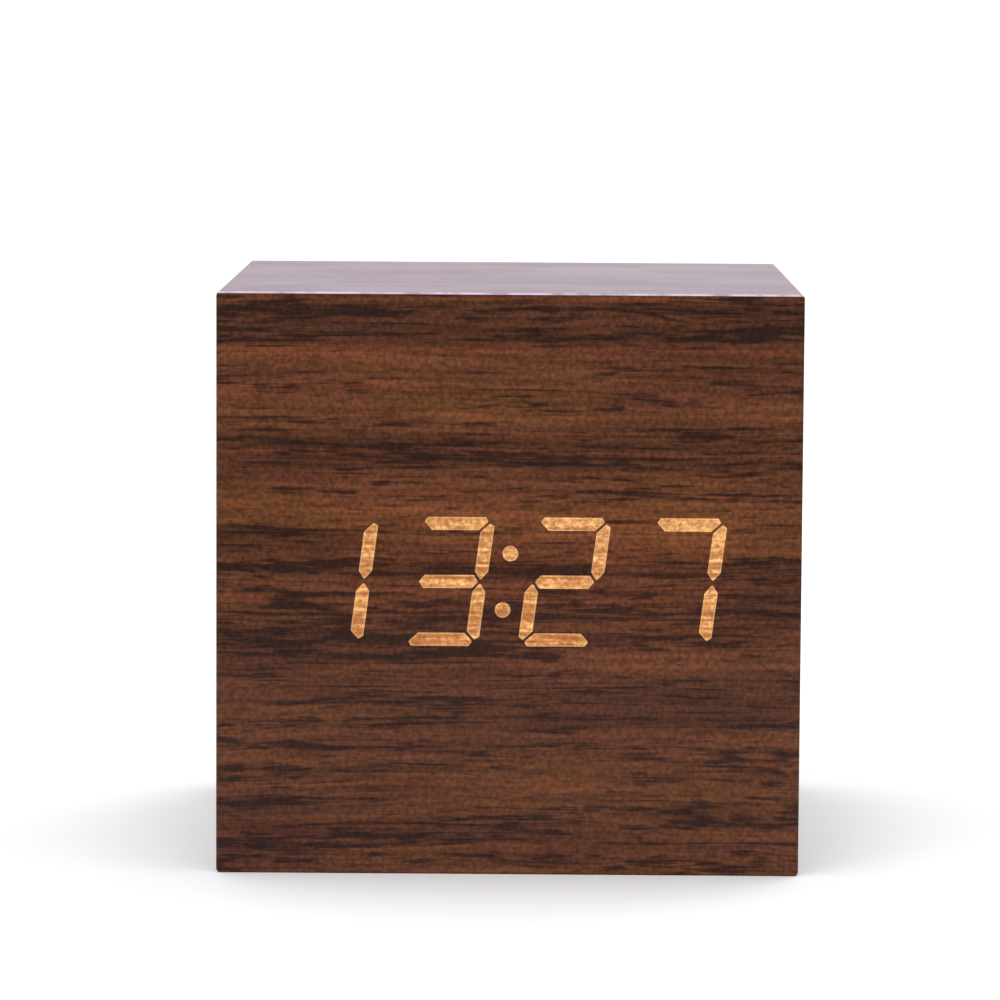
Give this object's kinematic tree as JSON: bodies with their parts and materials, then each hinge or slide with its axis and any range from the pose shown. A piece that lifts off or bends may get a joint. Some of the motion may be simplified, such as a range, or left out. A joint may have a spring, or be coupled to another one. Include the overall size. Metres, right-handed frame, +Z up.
{
  "type": "digital desk clock",
  "caption": "Walnut-veneered cube desk clock whose amber digits glow through the front, with push buttons, a power socket and a battery bay behind a snap-in door at the back.",
  "frame": {"origin": "centre of the underside that the clock stands on", "axes": "+Z up, the display faces -Y, +X to the right seen from the front"},
  "size_m": [0.064, 0.064, 0.064],
  "materials": {
    "walnut_veneer": "satin open-grain walnut veneer",
    "lit_veneer": "walnut veneer glowing amber from behind",
    "fibreboard": "raw fibreboard",
    "diffuser_plastic": "milky translucent",
    "black_plastic": "fine moulded texture",
    "button_plastic": "smooth satin",
    "switch_plastic": "satin",
    "white_plastic": "natural nylon",
    "circuit_board": "green solder mask",
    "chip_plastic": "moulded epoxy",
    "led_plastic": "clear resin over phosphor",
    "steel": "zinc plated",
    "contact_metal": "nickel plated spring steel",
    "can_metal": "bare drawn can",
    "capacitor_sleeve": "shrunk dark sleeve over a can",
    "cell_sleeve": "printed film over a steel can",
    "red_insulation": "soft insulation",
    "black_insulation": "soft insulation",
    "flat_cable": "grey ribbon"
  },
  "bodies": {
    "case": {"top_veneer": "walnut_veneer", "bottom_veneer": "walnut_veneer", "left_veneer": "walnut_veneer", "right_veneer": "walnut_veneer", "front_veneer": "walnut_veneer", "rear_edge_veneer": "walnut_veneer", "lit_segments": "lit_veneer", "top_board": "fibreboard", "bottom_board": "fibreboard", "left_board": "fibreboard", "right_board": "fibreboard", "front_board": "fibreboard", "corner_blocks": "fibreboard", "segment_diffusers": "diffuser_plastic", "light_baffle": "black_plastic", "rear_panel": "black_plastic", "usb_tongue": "black_plastic", "key_switches": "switch_plastic", "board_spacers": "white_plastic", "main_board": "circuit_board", "key_board": "circuit_board", "controller_chip": "chip_plastic", "chip_resistors": "chip_plastic", "buzzer": "chip_plastic", "led_chips": "led_plastic", "main_board_screws": "steel", "panel_screws": "steel", "key_board_screws": "steel", "usb_shell": "steel", "contact_plates": "contact_metal", "contact_springs": "contact_metal", "quartz_crystal": "can_metal", "microphone": "can_metal", "filter_capacitor": "capacitor_sleeve", "aaa_cell_top": "cell_sleeve", "aaa_cell_middle": "cell_sleeve", "aaa_cell_bottom": "cell_sleeve", "red_lead": "red_insulation", "black_lead": "black_insulation", "key_cable": "flat_cable"},
    "set_key": {"set_button": "button_plastic", "set_plunger": "switch_plastic"},
    "up_key": {"up_button": "button_plastic", "up_plunger": "switch_plastic"},
    "down_key": {"down_button": "button_plastic", "down_plunger": "switch_plastic"},
    "door": {"battery_door": "black_plastic", "door_latch": "black_plastic"}
  },
  "joints": [
    {"name": "set_press", "type": "slide", "parent": "case", "child": "set_key", "axis": [0, -1, 0], "range_m": [0, 0.0004], "stiffness_N_per_m": 300},
    {"name": "up_press", "type": "slide", "parent": "case", "child": "up_key", "axis": [0, -1, 0], "range_m": [0, 0.0004], "stiffness_N_per_m": 300},
    {"name": "down_press", "type": "slide", "parent": "case", "child": "down_key", "axis": [0, -1, 0], "range_m": [0, 0.0004], "stiffness_N_per_m": 300},
    {"name": "battery_door_swing", "type": "hinge", "parent": "case", "child": "door", "pos_m": [0, 0.0304, 0.01345], "axis": [-1, 0, 0], "range_deg": [0, 85], "deforming": ["door_latch"]}
  ]
}
